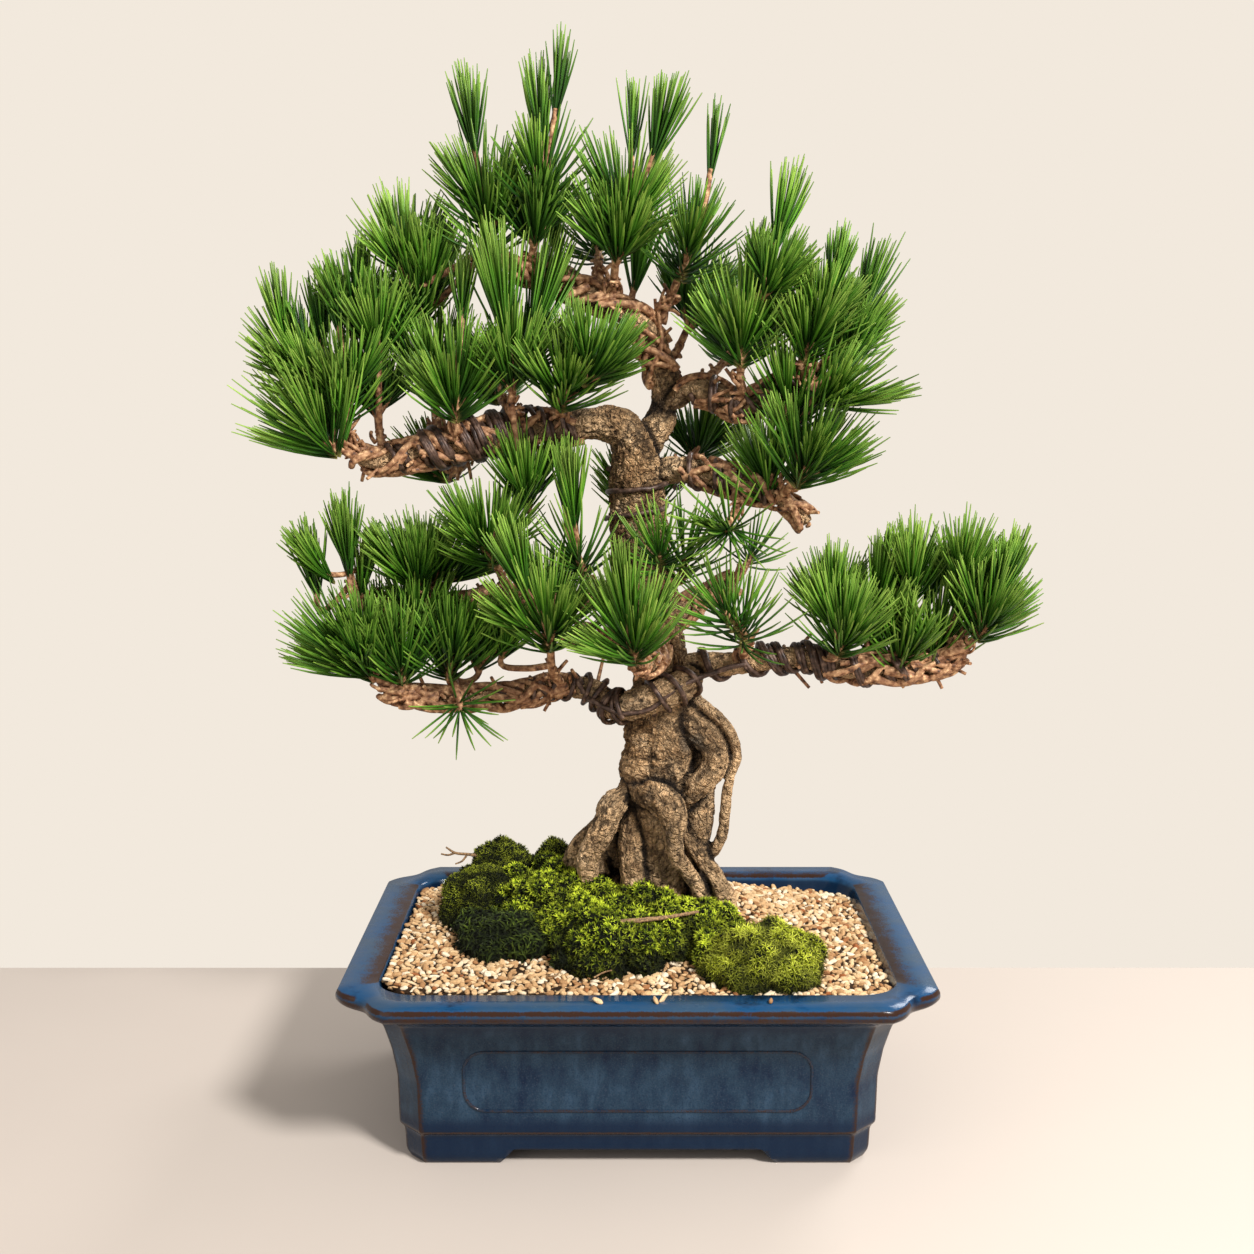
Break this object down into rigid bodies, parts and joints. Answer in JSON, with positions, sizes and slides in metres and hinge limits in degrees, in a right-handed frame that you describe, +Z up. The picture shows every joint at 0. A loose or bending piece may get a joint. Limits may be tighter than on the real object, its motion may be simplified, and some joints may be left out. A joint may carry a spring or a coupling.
{
  "type": "potted bonsai pine",
  "caption": "Bonsai pine with trained branches, coiled wires and upright needle tufts, on roots and moss in a low glazed rectangular footed pot.",
  "frame": {"origin": "on the surface that the pot stands on, under the middle of the pot", "axes": "+Z up along the tree, +Y towards the back, +X to the right as seen from the front"},
  "size_m": [0.4217, 0.22, 0.5621],
  "materials": {
    "glaze": "glossy mottled blue glaze that breaks to brown at the edges",
    "mesh": "black plastic mesh",
    "grit": "loose cream and tan grit",
    "bark": "rough tan bark with dark crevices",
    "training_wire": "dark brown anodised wire",
    "needles": "satin green needles",
    "moss_olive": "matt olive moss",
    "moss_lime": "matt yellow-green moss",
    "moss_deep": "matt dark green moss",
    "moss_fresh": "matt fresh green moss",
    "dry_stick": "dry bark"
  },
  "bodies": {
    "root": {"pot": "glaze", "drain_screen_left": "mesh", "drain_screen_right": "mesh", "soil": "grit", "tree_wood": "bark", "moss_balls_back": "moss_olive", "moss_ball_left": "moss_olive", "moss_lime": "moss_lime", "moss_dark": "moss_deep", "moss_green": "moss_fresh", "fallen_stick": "dry_stick", "wire_left_branch": "training_wire", "wire_trunk_bend": "training_wire", "wire_upper_right": "training_wire", "wire_mid_right": "training_wire", "wire_lower_pair": "training_wire", "spray_crown_left": "needles", "spray_crown_middle": "needles", "spray_crown_right": "needles", "spray_crown_far_right": "needles", "spray_crown_back": "needles", "spray_inner_candle": "needles", "spray_inner_right": "needles", "spray_inner_left": "needles", "spray_upper_right_front": "needles", "spray_upper_right_middle": "needles", "spray_upper_right_tip": "needles", "spray_upper_right_low": "needles", "spray_upper_right_back": "needles", "spray_mid_right_tip": "needles", "spray_mid_right_back": "needles", "spray_mid_right_front": "needles", "spray_trunk_front": "needles", "spray_left_tip_high": "needles", "spray_left_tip_low": "needles", "spray_left_high_a": "needles", "spray_left_high_b": "needles", "spray_left_high_c": "needles", "spray_left_two_lobed": "needles", "spray_left_inner": "needles", "spray_left_back_a": "needles", "spray_left_back_b": "needles", "spray_mid_left_trunk": "needles", "spray_mid_left_front": "needles", "spray_mid_left_middle": "needles", "spray_mid_left_tip": "needles", "spray_low_left_tip": "needles", "spray_low_left_hanging": "needles", "spray_low_left_front": "needles", "spray_low_front": "needles", "spray_low_right_front": "needles", "spray_low_right_middle": "needles", "spray_low_right_a": "needles", "spray_low_right_b": "needles", "spray_low_right_c": "needles", "spray_low_right_tip": "needles", "spray_low_back": "needles", "spray_low_back_right": "needles", "spray_low_back_left": "needles"}
  },
  "joints": []
}
